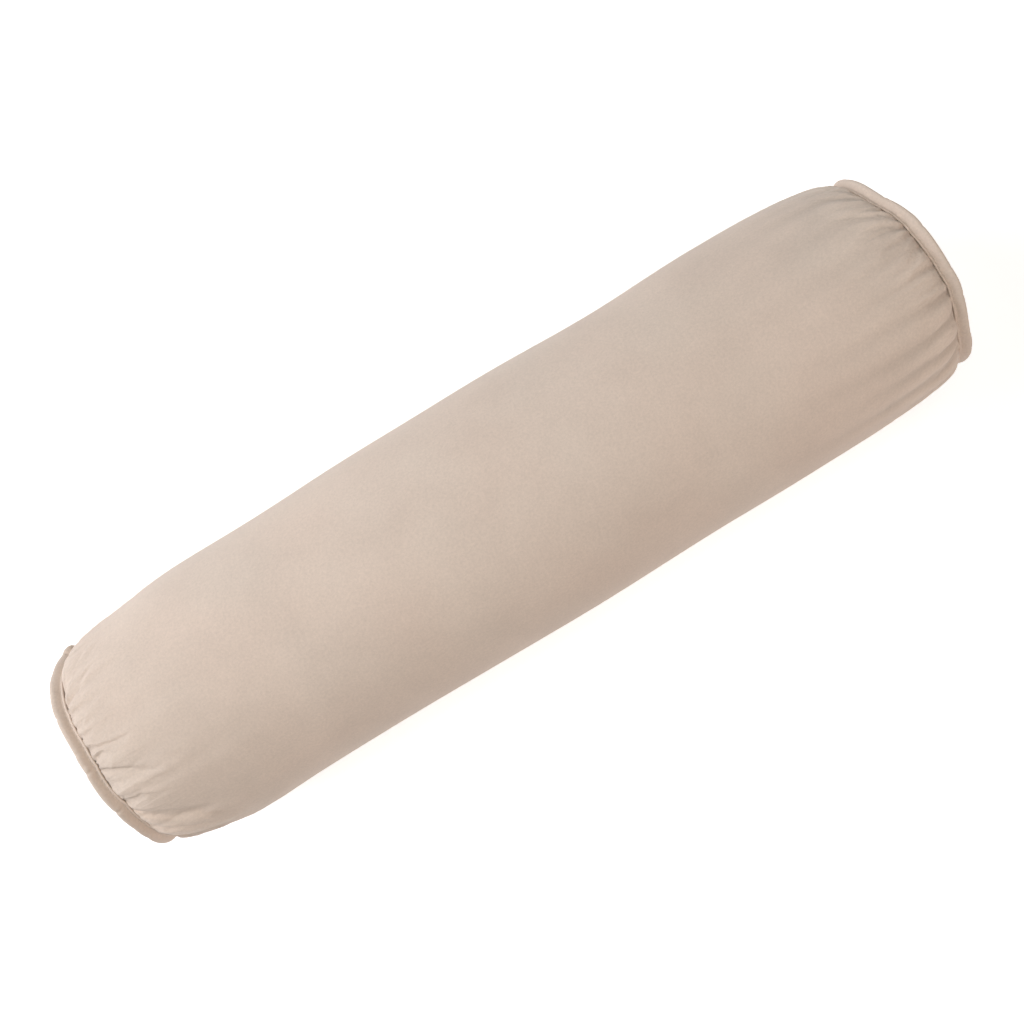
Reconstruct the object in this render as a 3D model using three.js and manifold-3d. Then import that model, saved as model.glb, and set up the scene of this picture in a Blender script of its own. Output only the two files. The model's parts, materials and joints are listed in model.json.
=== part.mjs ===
// Bolster pillow: a cotton cover gathered into bound ends, a zip along its rear underside,
// and a fibre-filled inner pillow. Millimetres. X runs along the bolster and +Z is up.
// The origin is on the surface that it lies on, under the middle.
import * as THREE from "three";
import { mergeVertices } from "three/addons/utils/BufferGeometryUtils.js";
import Module from "manifold-3d";

const wasm = await Module();
wasm.setup();

// Overall form.
const overallLength = 600; // between the crowns of the two end panels
const bodyDiameter = 160;
const seamDiameter = 129; // the gathered seam round each end panel
const shoulderLength = 86; // from the straight part to the seam
const shoulderFullness = 0.8; // below 1, the shoulder stays full and turns in late
const crownHeight = 14; // how far each end panel domes past its seam
const restDepth = 4; // how much the underside flattens where it lies

// Cloth, and the space between pieces that lie against each other.
const clothThickness = 0.7;
const linerThickness = 0.5;
const clearance = 0.3;

// Binding: a strip folded over the raw edges of the cover tube and the end panel.
const bindingWidth = 8.5; // from the seam to the fold
const bindingTilt = THREE.MathUtils.degToRad(25); // outwards from the bolster's axis
const bindingFromSeam = 0.95; // where the strip's two edges start
const raggedEdge = 2.3; // how far the enclosed edges stop short of the fold
const threadSize = 0.5;
const threadProud = 0.4;
const stitchFromSeam = 1.8;
const grooveDepth = 0.4;

// Zip.
const zipAngle = THREE.MathUtils.degToRad(40); // below the horizontal, on the +Y side
const zipEndMargin = 4; // from the tape's end to the shoulder
const slotEndMargin = 3; // from the slot's end to the tape's end
const tapeThickness = 0.6;
const tapeOuterEdge = 11; // from the zip's centre line
const coilHeight = 1.6;
const coilGap = 1.6; // between the two rows of teeth, where the slider's bridge passes
const stopLength = 2.4;
const stopHeight = 1.8;
const stopOverhang = 0.2;
const zipStitchFromSlot = 1.0;
const sliderLength = 9.5;
const sliderWidth = 7.2;
const sliderPlate = 0.9;
const sliderUnderPlate = 0.7;
const sliderFlange = 0.7;
const sliderNeck = 1.2; // how much narrower each side is at the slider's rear
const bridgeLength = 2.6;
const slotSideRoom = 0.9;
const bailThickness = 1.8;
const bailLeg = 0.9;
const bailWindow = 3.2; // along the slider
const pullBarRadius = 0.5;
const pullThickness = 1.0;
const pullArm = 0.9;
const pullWidth = 5.2;
const pullLength = 20; // from the bar to the tip

// Facets round the bolster and along its curves. A facet is centred on the zip.
const ringFacets = 36;
const coverShoulderSteps = 6;
const innerShoulderSteps = 4;
const crownSteps = 4;
const foldSteps = 4;

// Worked out from the sizes above.
const bodyRadius = bodyDiameter / 2;
const seamRadius = seamDiameter / 2;
const seamX = overallLength / 2 - crownHeight;
const straightHalf = seamX - shoulderLength;
const axisHeight = bodyRadius - restDepth;
const halfFacet = Math.PI / ringFacets;
const zipTurn = (3 / 2) * Math.PI - zipAngle; // about X, from straight up
const lipInner = clearance / 2;
const lipOuter = lipInner + clothThickness;
const bindingInner = lipOuter + clearance;
const bindingOuter = bindingInner + clothThickness;
const tapeInset = clothThickness + clearance;
const linerInset = tapeInset + tapeThickness + sliderUnderPlate + 2 * clearance;
const fillingInset = linerInset + linerThickness + clearance;
const tapeFace = facetDistance(tapeInset);
const coilBase = tapeFace + clearance;
const coilTop = coilBase + coilHeight;
const coilOuter = sliderWidth / 2 - sliderFlange - clearance;
const plateBase = coilTop + clearance;
const plateTop = plateBase + sliderPlate;
const underPlateTop = tapeFace - tapeThickness - clearance;
const underPlateBase = underPlateTop - sliderUnderPlate;
const tapeHalf = straightHalf - zipEndMargin;
const slotHalf = tapeHalf - slotEndMargin;
const slotHalfWidth = sliderWidth / 2 + slotSideRoom;
const stopFar = slotHalf - clearance;
const stopNear = stopFar - stopLength;
const coilHalf = stopNear - clearance;
const sliderMiddle = coilHalf - sliderLength / 2; // closed, against the top stops
const pullBarHeight = plateTop + clearance + pullBarRadius;
const bailWindowTop = pullBarHeight + pullBarRadius + clearance;
const bailTop = bailWindowTop + bailLeg;
const bailHalf = bailWindow / 2 + bailLeg;
const pullWindow = Math.hypot(bailHalf, bailTop - pullBarHeight) + clearance;
const zipStitchLine = slotHalfWidth + zipStitchFromSlot;
const grooveWidth = threadSize + 2 * clearance;

const materials = {
  cotton: finish(0xd4c1b5, 0.85),
  bindingCotton: finish(0xcfbaac, 0.85),
  thread: finish(0xc4ad9d, 0.6),
  tape: finish(0xcbb6a8, 0.8),
  coil: finish(0xc9b5a7, 0.45),
  metal: finish(0xb9b3a8, 0.35, 1),
  liner: finish(0xf1eee7, 0.9),
  filling: finish(0xf8f6f1, 0.95),
};

function finish(color, roughness, metalness = 0) {
  return new THREE.MeshStandardMaterial({ color, roughness, metalness });
}

// ---- Solids ----

function triangleVolume(position, a, b, c) {
  const corner = [a, b, c].map((i) => new THREE.Vector3().fromBufferAttribute(position, i));
  return corner[0].dot(corner[1].cross(corner[2])) / 6;
}

// A closed geometry as a manifold-3d solid, with its faces pointing out.
function toSolid(geometry) {
  const bare = geometry.index ? geometry.toNonIndexed() : geometry.clone();
  bare.deleteAttribute("normal");
  bare.deleteAttribute("uv");
  const merged = mergeVertices(bare, 1e-3);
  const corners = merged.index.array;
  const kept = [];
  let volume = 0;
  for (let i = 0; i < corners.length; i += 3) {
    const [a, b, c] = corners.slice(i, i + 3);
    if (a === b || b === c || c === a) continue;
    volume += triangleVolume(merged.attributes.position, a, b, c);
    kept.push(a, b, c);
  }
  if (volume < 0) kept.reverse();
  return new wasm.Manifold(
    new wasm.Mesh({
      numProp: 3,
      vertProperties: new Float32Array(merged.attributes.position.array),
      triVerts: new Uint32Array(kept),
    }),
  );
}

function toGeometry(solid) {
  const mesh = solid.getMesh();
  const geometry = new THREE.BufferGeometry();
  geometry.setAttribute("position", new THREE.BufferAttribute(mesh.vertProperties, 3));
  geometry.setIndex(new THREE.BufferAttribute(mesh.triVerts, 1));
  geometry.computeVertexNormals();
  return geometry;
}

function box(lowX, highX, lowY, highY, lowZ, highZ) {
  const geometry = new THREE.BoxGeometry(highX - lowX, highY - lowY, highZ - lowZ);
  geometry.translate((lowX + highX) / 2, (lowY + highY) / 2, (lowZ + highZ) / 2);
  return toSolid(geometry);
}

// Revolves [x, radius] points about the bolster's axis.
function revolve(points) {
  const outline = points.map(([x, radius]) => new THREE.Vector2(radius, x));
  const geometry = new THREE.LatheGeometry(outline, ringFacets, zipTurn - halfFacet);
  geometry.rotateZ(-Math.PI / 2);
  geometry.translate(0, 0, axisHeight);
  return toSolid(geometry);
}

function mirrored(points) {
  return points.map(([x, radius]) => [-x, radius]).reverse();
}

function aboveFloor(solid, inset) {
  const reach = overallLength;
  return solid.intersect(box(-reach, reach, -reach, reach, inset, reach));
}

// From the axis to a facet's middle, on the layer this far under the cover's outside.
function facetDistance(inset) {
  return (bodyRadius - inset) * Math.cos(halfFacet);
}

// ---- Outlines, as [x, radius] points of the +X half ----

// From the seam in to the straight part.
function shoulderOutline(inset, steps) {
  const drop = bodyRadius - seamRadius;
  return Array.from({ length: steps + 1 }, (_, i) => {
    const angle = (Math.PI / 2) * (1 - i / steps);
    const fall = i === 0 ? 1 : 1 - Math.cos(angle) ** shoulderFullness;
    const x = straightHalf + (shoulderLength - inset) * Math.sin(angle);
    return [x, bodyRadius - inset - drop * fall];
  });
}

// From the crown out to a radius.
function crownOutline(inset, lastRadius) {
  return Array.from({ length: crownSteps + 1 }, (_, i) => {
    const radius = (lastRadius * i) / crownSteps;
    const fall = (radius / (seamRadius - inset)) ** 2;
    return [seamX - inset + crownHeight * (1 - fall), radius];
  });
}

// A point beside the seam: along the binding, and across it towards the bolster's middle.
function atSeam(along, across) {
  const x = seamX + along * Math.cos(bindingTilt) - across * Math.sin(bindingTilt);
  const radius = seamRadius + along * Math.sin(bindingTilt) + across * Math.cos(bindingTilt);
  return [x, radius];
}

function reachesLip([x, radius]) {
  const across = (radius - seamRadius) * Math.cos(bindingTilt) - (x - seamX) * Math.sin(bindingTilt);
  return across > lipOuter;
}

// ---- Cover ----

const lipEnd = bindingWidth - raggedEdge;

function coverOutside() {
  const shoulder = shoulderOutline(0, coverShoulderSteps).filter(reachesLip);
  const lip = [atSeam(lipEnd, -clothThickness), atSeam(lipEnd, lipOuter), atSeam(0.4, lipOuter)];
  const half = [[lip[0][0], 0], ...lip, ...shoulder];
  return aboveFloor(revolve([...half, ...mirrored(half)]), 0);
}

function coverInside() {
  const shoulder = shoulderOutline(clothThickness, coverShoulderSteps).filter(reachesLip);
  const mouth = [atSeam(lipEnd + clothThickness, lipInner), atSeam(-clothThickness, lipInner)];
  const half = [[mouth[0][0], 0], ...mouth, ...shoulder];
  return aboveFloor(revolve([...half, ...mirrored(half)]), clothThickness);
}

// Long boxes along the zip are placed in the zip's own frame: Z out of the cover, Y downwards.
const zipFrame = new THREE.Matrix4()
  .makeTranslation(0, 0, axisHeight)
  .multiply(new THREE.Matrix4().makeRotationX(zipTurn));

function inBolsterFrame(solid) {
  const geometry = toGeometry(solid);
  geometry.applyMatrix4(zipFrame);
  return toSolid(geometry);
}

function zipSlot() {
  const top = facetDistance(0) + clothThickness;
  return inBolsterFrame(
    box(-slotHalf, slotHalf, -slotHalfWidth, slotHalfWidth, facetDistance(tapeInset), top),
  );
}

function zipGroove(side) {
  const middle = side * zipStitchLine;
  const low = facetDistance(0) - grooveDepth;
  const reach = slotHalf + clearance;
  return inBolsterFrame(
    box(-reach, reach, middle - grooveWidth / 2, middle + grooveWidth / 2, low, low + 2),
  );
}

function coverTube() {
  const shell = coverOutside().subtract(coverInside());
  return shell.subtract(zipSlot()).subtract(zipGroove(1)).subtract(zipGroove(-1));
}

function endPanel(end) {
  const crown = crownOutline(0, seamRadius - lipOuter * Math.cos(bindingTilt));
  const under = crownOutline(clothThickness, seamRadius - clothThickness - clearance).reverse();
  const lip = [atSeam(lipEnd, -lipOuter), atSeam(lipEnd, -lipInner), atSeam(-0.6, -lipInner)];
  return revolve([...crown, ...lip, ...under].map(([x, radius]) => [end * x, radius]));
}

// ---- Bindings and their two rows of thread ----

function foldArc(halfThickness) {
  const centre = bindingWidth - bindingOuter;
  return Array.from({ length: foldSteps + 1 }, (_, i) => {
    const angle = Math.PI * (1 / 2 - i / foldSteps);
    return atSeam(centre + halfThickness * Math.cos(angle), halfThickness * Math.sin(angle));
  });
}

function stitchGroove(face) {
  const reach = grooveWidth / 2;
  const floor = bindingOuter - grooveDepth;
  const start = stitchFromSeam - face * reach;
  const finish = stitchFromSeam + face * reach;
  return [
    atSeam(start, face * bindingOuter),
    atSeam(start, face * floor),
    atSeam(finish, face * floor),
    atSeam(finish, face * bindingOuter),
  ];
}

function ring(outline, end) {
  return revolve([...outline, outline[0]].map(([x, radius]) => [end * x, radius]));
}

function binding(end) {
  const outside = [
    atSeam(bindingFromSeam, bindingOuter),
    ...stitchGroove(1),
    ...foldArc(bindingOuter),
    ...stitchGroove(-1),
    atSeam(bindingFromSeam, -bindingOuter),
  ];
  const inside = [
    atSeam(bindingFromSeam, bindingInner),
    ...foldArc(bindingInner),
    atSeam(bindingFromSeam, -bindingInner),
  ];
  return ring([...outside, ...inside.reverse()], end);
}

// face is 1 on the side towards the bolster's middle and -1 on the side towards the panel.
function bindingThread(end, face) {
  const outer = bindingOuter + threadProud;
  const inner = outer - threadSize;
  const reach = threadSize / 2;
  const corners = [
    [-reach, inner],
    [reach, inner],
    [reach, outer],
    [-reach, outer],
  ];
  return ring(
    corners.map(([along, across]) => atSeam(stitchFromSeam + along, face * across)),
    end,
  );
}

// ---- Inner pillow ----

function layer(inset, withCrown) {
  const start = withCrown
    ? crownOutline(inset, seamRadius - inset).slice(0, -1)
    : [[seamX - inset, 0]];
  const half = [...start, ...shoulderOutline(inset, innerShoulderSteps)];
  return aboveFloor(revolve([...half, ...mirrored(half)]), inset);
}

const linerMouth = seamRadius - linerInset - linerThickness - clearance;

function linerTube() {
  const mouth = revolve([
    [overallLength, 0],
    [overallLength, linerMouth],
    [-overallLength, linerMouth],
    [-overallLength, 0],
  ]);
  const bag = layer(linerInset, false).subtract(layer(linerInset + linerThickness, false));
  return bag.subtract(mouth);
}

function linerEnd(end) {
  const outside = crownOutline(linerInset, linerMouth - clearance);
  const inside = crownOutline(linerInset + linerThickness, linerMouth - clearance).reverse();
  return revolve([...outside, ...inside].map(([x, radius]) => [end * x, radius]));
}

// ---- Zip: side is -1 for the upper half and 1 for the lower half ----

function between(side, near, far) {
  return side > 0 ? [near, far] : [-far, -near];
}

function zipTape(side) {
  const outer = layer(tapeInset, false);
  const inner = layer(tapeInset + tapeThickness, false);
  const strip = box(
    -tapeHalf,
    tapeHalf,
    ...between(side, coilGap / 2, tapeOuterEdge),
    bodyRadius / 2,
    bodyDiameter,
  );
  return outer.subtract(inner).intersect(inBolsterFrame(strip));
}

function zipCoil(side) {
  return box(-coilHalf, coilHalf, ...between(side, coilGap / 2, coilOuter), coilBase, coilTop);
}

function topStop(side) {
  const span = between(side, coilGap / 2, coilOuter + stopOverhang);
  return box(stopNear, stopFar, ...span, coilBase, coilBase + stopHeight);
}

function bottomStop() {
  const reach = coilOuter + stopOverhang;
  return box(-stopFar, -stopNear, -reach, reach, coilBase, coilBase + stopHeight);
}

function zipThread(side) {
  const outer = facetDistance(0) + threadProud;
  const span = between(side, zipStitchLine - threadSize / 2, zipStitchLine + threadSize / 2);
  return box(-slotHalf, slotHalf, ...span, outer - threadSize, outer);
}

// The slider's outline seen from outside: square at the front, narrower at the rear.
function sliderOutline() {
  const half = sliderLength / 2;
  const wide = sliderWidth / 2;
  const narrow = wide - sliderNeck;
  const shape = new THREE.Shape();
  shape.moveTo(half, -wide);
  shape.lineTo(half, wide);
  shape.quadraticCurveTo(-half / 2, wide, -half, narrow);
  shape.lineTo(-half, -narrow);
  shape.quadraticCurveTo(-half / 2, -wide, half, -wide);
  return shape;
}

function plate(outline, low, high) {
  const geometry = new THREE.ExtrudeGeometry(outline, {
    depth: high - low,
    bevelEnabled: false,
    curveSegments: 5,
  });
  geometry.translate(0, 0, low);
  return toSolid(geometry);
}

function archOutline(half, low, high) {
  const shape = new THREE.Shape();
  const turn = (high - low) / 2;
  shape.moveTo(half, low);
  shape.lineTo(half, high - turn);
  shape.quadraticCurveTo(half, high, half - turn, high);
  shape.lineTo(-half + turn, high);
  shape.quadraticCurveTo(-half, high, -half, high - turn);
  shape.lineTo(-half, low);
  return shape;
}

// The loop on top of the slider that the pull tab's bar runs through.
function bail() {
  const outer = archOutline(bailHalf, plateTop - clearance, bailTop);
  outer.holes.push(archOutline(bailWindow / 2, plateTop, bailWindowTop));
  const geometry = new THREE.ExtrudeGeometry(outer, {
    depth: bailThickness,
    bevelEnabled: false,
    curveSegments: 4,
  });
  geometry.rotateX(Math.PI / 2);
  geometry.translate(0, bailThickness / 2, 0);
  return toSolid(geometry);
}

function slider() {
  const half = sliderLength / 2;
  const wide = sliderWidth / 2;
  const flangeBase = tapeFace + clearance;
  const bridgeSide = coilGap / 2 - clearance;
  const flanges = [1, -1].map((side) =>
    box(-half / 2, half, ...between(side, wide - sliderFlange, wide), flangeBase, plateTop),
  );
  const bridge = box(half - bridgeLength, half, -bridgeSide, bridgeSide, underPlateBase, plateTop);
  return plate(sliderOutline(), plateBase, plateTop)
    .add(plate(sliderOutline(), underPlateBase, underPlateTop))
    .add(flanges[0])
    .add(flanges[1])
    .add(bridge)
    .add(bail());
}

// The pull tab hangs straight out from its bar, with its thickness along the zip.
function pullOutline() {
  const arm = bailThickness / 2 + clearance;
  const armOutside = arm + pullArm;
  const wide = pullWidth / 2;
  const shape = new THREE.Shape();
  shape.moveTo(armOutside, -pullBarRadius);
  shape.lineTo(armOutside, pullWindow);
  shape.lineTo(wide, pullWindow + wide);
  shape.lineTo(wide, pullLength - wide);
  shape.absarc(0, pullLength - wide, wide, 0, Math.PI, false);
  shape.lineTo(-wide, pullWindow + wide);
  shape.lineTo(-armOutside, pullWindow);
  shape.lineTo(-armOutside, -pullBarRadius);
  shape.lineTo(-arm, -pullBarRadius);
  shape.lineTo(-arm, pullWindow);
  shape.lineTo(arm, pullWindow);
  shape.lineTo(arm, -pullBarRadius);
  return shape;
}

function pullTab() {
  const blade = new THREE.ExtrudeGeometry(pullOutline(), {
    depth: pullThickness,
    bevelEnabled: false,
    curveSegments: 8,
  });
  blade.translate(0, 0, -pullThickness / 2);
  blade.rotateY(Math.PI / 2);
  blade.rotateX(Math.PI / 2);
  const barLength = bailThickness + 2 * (clearance + pullArm / 2);
  const bar = new THREE.CylinderGeometry(pullBarRadius, pullBarRadius, barLength, 12);
  return toSolid(blade).add(toSolid(bar));
}

// ---- Assembly ----

function piece(name, solid, material) {
  const mesh = new THREE.Mesh(toGeometry(solid), material.clone());
  mesh.name = name;
  return mesh;
}

function cover() {
  const group = new THREE.Group();
  group.add(piece("cover_tube", coverTube(), materials.cotton));
  for (const [name, end] of [["left", -1], ["right", 1]]) {
    group.add(piece(`${name}_end_panel`, endPanel(end), materials.cotton));
    group.add(piece(`${name}_binding`, binding(end), materials.bindingCotton));
    group.add(piece(`${name}_needle_thread`, bindingThread(end, 1), materials.thread));
    group.add(piece(`${name}_bobbin_thread`, bindingThread(end, -1), materials.thread));
  }
  return group;
}

function innerPillow() {
  const group = new THREE.Group();
  group.add(piece("liner_tube", linerTube(), materials.liner));
  group.add(piece("liner_left_end", linerEnd(-1), materials.liner));
  group.add(piece("liner_right_end", linerEnd(1), materials.liner));
  group.add(piece("filling", layer(fillingInset, true), materials.filling));
  return group;
}

function zip() {
  const group = new THREE.Group();
  group.applyMatrix4(zipFrame);
  for (const [name, side] of [["upper", -1], ["lower", 1]]) {
    group.add(piece(`zip_coil_${name}`, zipCoil(side), materials.coil));
    group.add(piece(`zip_thread_${name}`, zipThread(side), materials.thread));
    group.add(piece(`zip_top_stop_${name}`, topStop(side), materials.metal));
  }
  group.add(piece("zip_bottom_stop", bottomStop(), materials.metal));
  const sliderGroup = new THREE.Group();
  sliderGroup.position.x = sliderMiddle;
  sliderGroup.add(piece("zip_slider", slider(), materials.metal));
  const tab = piece("zip_pull_tab", pullTab(), materials.metal);
  tab.position.z = pullBarHeight;
  sliderGroup.add(tab);
  group.add(sliderGroup);
  return group;
}

const bolster = new THREE.Group();
bolster.add(cover());
bolster.add(innerPillow());
bolster.add(piece("zip_tape_upper", zipTape(-1), materials.tape));
bolster.add(piece("zip_tape_lower", zipTape(1), materials.tape));
bolster.add(zip());

export default bolster;
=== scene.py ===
import json
import math
from contextlib import contextmanager

import bmesh
import bpy
import numpy as np
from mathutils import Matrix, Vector


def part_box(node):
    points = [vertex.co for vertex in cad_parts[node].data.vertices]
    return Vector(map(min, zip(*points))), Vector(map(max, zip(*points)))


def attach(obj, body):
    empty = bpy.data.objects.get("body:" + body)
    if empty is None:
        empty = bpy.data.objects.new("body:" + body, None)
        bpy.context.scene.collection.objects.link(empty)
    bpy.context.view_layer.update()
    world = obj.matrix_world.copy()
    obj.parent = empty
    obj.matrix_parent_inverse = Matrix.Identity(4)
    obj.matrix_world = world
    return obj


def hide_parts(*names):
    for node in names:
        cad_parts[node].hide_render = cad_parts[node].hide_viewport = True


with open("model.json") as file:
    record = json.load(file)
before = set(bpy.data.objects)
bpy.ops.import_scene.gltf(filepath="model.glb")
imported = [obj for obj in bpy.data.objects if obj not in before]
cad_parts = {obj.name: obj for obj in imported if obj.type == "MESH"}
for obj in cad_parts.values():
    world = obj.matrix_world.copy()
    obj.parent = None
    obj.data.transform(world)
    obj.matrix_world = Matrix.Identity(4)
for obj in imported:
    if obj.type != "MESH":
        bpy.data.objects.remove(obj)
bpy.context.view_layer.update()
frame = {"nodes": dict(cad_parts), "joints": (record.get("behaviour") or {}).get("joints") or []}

MM = 0.001
TAU = 2 * math.pi

# ---- Sizes read from the frame ----
tube_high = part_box("cover_tube")[1]
BODY_RADIUS = tube_high.y + 0.3 * MM
AXIS_HEIGHT = tube_high.z - tube_high.y
CROWN_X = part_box("right_end_panel")[1].x
COIL_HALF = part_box("zip_coil_upper")[1].x
TAPE_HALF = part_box("zip_tape_upper")[1].x
SLOT_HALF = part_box("zip_thread_upper")[1].x
swing = next(j for j in frame["joints"] if j["name"] == "zip_pull_swing")
swing_axis = Vector(swing["axis"]).normalized()
ZIP_ANGLE = math.atan2(swing_axis.y, swing_axis.z)

# ---- Sizes that the frame doesn't say, as in the CAD source ----
SEAM_RADIUS = 64.5 * MM
CROWN_HEIGHT = 14 * MM
SHOULDER = 86 * MM
FULLNESS = 0.8  # how square the shoulder is: 1 is round
PROFILE_STEPS = 1500
SEAM_X = CROWN_X - CROWN_HEIGHT
STRAIGHT = SEAM_X - SHOULDER
BINDING_WIDTH = 8.5 * MM
BINDING_TILT = math.radians(25)
SLOT_HALF_WIDTH = 4.5 * MM
CLOTH = 0.7 * MM

ENDS = {"left": -1, "right": 1}


# ---- Smooth random fields, the same on every run ----

def turns(phi, seed, count, lowest, highest):
    """A smooth field round the bolster, about -1 to 1, of lowest..highest waves."""
    rng = np.random.default_rng(seed)
    total = np.zeros_like(phi)
    for _ in range(count):
        k = rng.integers(lowest, highest + 1)
        total += np.sin(k * phi + rng.uniform(0, TAU)) * rng.uniform(0.5, 1)
    return total / math.sqrt(count)


def ripples(x, phi, seed, count, length, lowest, highest):
    """A smooth field over the cover, in waves about length long and lowest..highest round."""
    rng = np.random.default_rng(seed)
    total = np.zeros(np.broadcast(x, phi).shape)
    for _ in range(count):
        k = rng.integers(lowest, highest + 1)
        along = TAU / (length * rng.uniform(0.7, 1.5)) * rng.choice([-1, 1])
        total += np.sin(along * x + k * phi + rng.uniform(0, TAU)) * rng.uniform(0.5, 1)
    return total / math.sqrt(count)


def smooth(t):
    t = np.clip(t, 0, 1)
    return t * t * (3 - 2 * t)


def hump(t):
    """1 at 0, falling away on both sides."""
    return np.exp(-(t**2))


def round_angles(count):
    return np.linspace(0, TAU, count, endpoint=False)


def turn_from(phi, centre):
    """Signed angle from centre, -pi to pi."""
    return (phi - centre + math.pi) % TAU - math.pi


def catmull_rom(v0, v1, v2, v3, f):
    """The smooth curve through v1 and v2, a share f of the way between them."""
    return 0.5 * (2 * v1 + (v2 - v0) * f + (2 * v0 - 5 * v1 + 4 * v2 - v3) * f**2
                  + (3 * v1 - v0 - 3 * v2 + v3) * f**3)


# ---- The bolster's frame: phi is 0 straight up and grows towards +Y ----
ZIP_PHI = math.pi / 2 + ZIP_ANGLE


def place(x, radius, phi):
    """Points from distances along and out from the axis, and the angle round it."""
    x, radius, phi = np.broadcast_arrays(x, radius, phi)
    return np.stack([x, radius * np.sin(phi), AXIS_HEIGHT + radius * np.cos(phi)], -1)


def profile_table(inset=0.0):
    """(distance from the seam, x, radius, normal x, normal radius) from the seam to the middle."""
    angle = np.linspace(math.pi / 2, 0, PROFILE_STEPS)
    fall = 1 - np.cos(angle) ** FULLNESS
    fall[0] = 1
    x = STRAIGHT + (SHOULDER - inset) * np.sin(angle)
    radius = BODY_RADIUS - inset - (BODY_RADIUS - SEAM_RADIUS) * fall
    x = np.append(x, 0.0)
    radius = np.append(radius, radius[-1])
    along = np.concatenate([[0], np.cumsum(np.hypot(np.diff(x), np.diff(radius)))])
    dx, dr = np.gradient(x, along), np.gradient(radius, along)
    return along, x, radius, dr, -dx


PROFILE = profile_table()
HALF_LENGTH = PROFILE[0][-1]


def on_profile(along):
    return [np.interp(along, PROFILE[0], column) for column in PROFILE[1:]]


# ---- How the whole cover lies: every outer piece goes through this ----
RIGHT_SKEW = math.tan(math.radians(3.9))
SKEW_START = 0.16
ZIP_CALM = (10 * MM, 34 * MM)
FLOOR_SOFTNESS = 2.0 * MM
AXIS_REACH = 58 * MM  # nearer the axis the changes to the outside fade away
# How far the right end is sewn in, everywhere and at its sides; how far the left one stands
# out, everywhere and at its far side; and where on the left, and how far, it is tucked in.
RIGHT_IN, RIGHT_SIDES = 1.5 * MM, 3.8 * MM
LEFT_OUT, LEFT_FAR_SIDE = 2.8 * MM, 2.4 * MM
JUT_PHI, JUT_WIDTH, JUT_DEPTH = 0.5, 0.22, 1.8 * MM
# Lumps and hollows of the filling: centre (x, phi), half width along (x) and round (phi), height.
LUMPS = [
    ((-0.248, 1.5), 0.042, 0.75, -4.2 * MM),
    ((-0.236, -1.55), 0.034, 0.6, 2.9 * MM),
    ((0.25, 1.45), 0.04, 0.5, 1.3 * MM),
]


def calm_near_zip(phi):
    """0 beside the zip and 1 away from it, so that the cloth still meets the zip."""
    away = np.abs(turn_from(phi, ZIP_PHI)) * BODY_RADIUS
    return smooth((away - ZIP_CALM[0]) / (ZIP_CALM[1] - ZIP_CALM[0]))


def end_shift(x, phi, from_axis):
    """How far the sewn ends lie from where a straight, flat end would be."""
    near_end = smooth((np.abs(x) - STRAIGHT) / (SEAM_X - STRAIGHT))
    sides = smooth((np.abs(np.sin(phi)) - 0.3) / 0.45) * from_axis
    right = -near_end * (RIGHT_IN + RIGHT_SIDES * sides)
    far_side = smooth((np.sin(phi) - 0.75) / 0.25) * smooth((np.cos(phi) + 0.5) / 0.4) * from_axis
    jut = hump(turn_from(phi, JUT_PHI) / JUT_WIDTH) * from_axis
    left = near_end * (LEFT_OUT + LEFT_FAR_SIDE * far_side - JUT_DEPTH * jut)
    return np.where(x > 0, right, left)


def settle(points, floor=0.0):
    """How the stuffed cover lies: slimmer, uneven, its right end askew, flat on the floor."""
    x, y, z = points[..., 0], points[..., 1], points[..., 2]
    out = z - AXIS_HEIGHT
    phi = np.arctan2(y, out)
    calm = calm_near_zip(phi)
    share = np.abs(x) / SEAM_X
    sway = ripples(x, phi, 3, 7, 0.16, 0, 3) * 0.9 * MM
    full = 0.6 * MM - 1.6 * MM * smooth(share / 0.45) + 0.4 * MM * smooth((share - 0.8) / 0.2)
    change = sway + full
    for (centre_x, centre_phi), half_x, half_phi, height in LUMPS:
        round_it = (turn_from(phi, centre_phi) / half_phi) ** 2
        change = change + height * np.exp(-(((x - centre_x) / half_x) ** 2) - round_it)
    radius = np.hypot(y, out)
    from_axis = smooth(radius / AXIS_REACH)
    radius = radius + calm * change * from_axis
    skew = smooth((x - SKEW_START) / (SEAM_X - SKEW_START)) * (0.25 + 0.75 * calm)
    x = x - RIGHT_SKEW * y * skew + end_shift(x, phi, from_axis)
    y, out = radius * np.sin(phi), radius * np.cos(phi)
    above = AXIS_HEIGHT + out - floor
    z = floor + 0.5 * (above + np.sqrt(above * above + FLOOR_SOFTNESS**2))
    return np.stack([x, y, z], -1)


# ---- Meshes ----

def in_scene(name, data):
    thing = bpy.data.objects.new(name, data)
    bpy.context.scene.collection.objects.link(thing)
    return thing


def new_object(name, points, faces, smooth_faces=True):
    mesh = bpy.data.meshes.new(name)
    mesh.from_pydata(points.reshape(-1, 3).tolist(), [], faces)
    mesh.validate()
    if smooth_faces:
        mesh.shade_smooth()
    return in_scene(name, mesh)


def grid_faces(rows, columns, wrap_columns=True, wrap_rows=False, keep=None):
    """Faces between rows x columns points, which may close round either way."""
    faces = []
    for i in range(rows if wrap_rows else rows - 1):
        below = (i + 1) % rows
        for j in range(columns if wrap_columns else columns - 1):
            if keep is not None and not keep[i, j]:
                continue
            right = (j + 1) % columns
            faces.append(
                (i * columns + j, below * columns + j, below * columns + right, i * columns + right)
            )
    return faces


def turned_over(faces):
    return [f[::-1] for f in faces]


def new_disc(name, points, centre, side):
    """A round cloth of rings of points and one in the middle, facing out from its end."""
    rows, columns = points.shape[:2]
    hub = rows * columns
    faces = grid_faces(rows, columns) + [(hub, j, (j + 1) % columns) for j in range(columns)]
    if side < 0:
        faces = turned_over(faces)
    return new_object(name, np.concatenate([points.reshape(-1, 3), centre]), faces)


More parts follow.
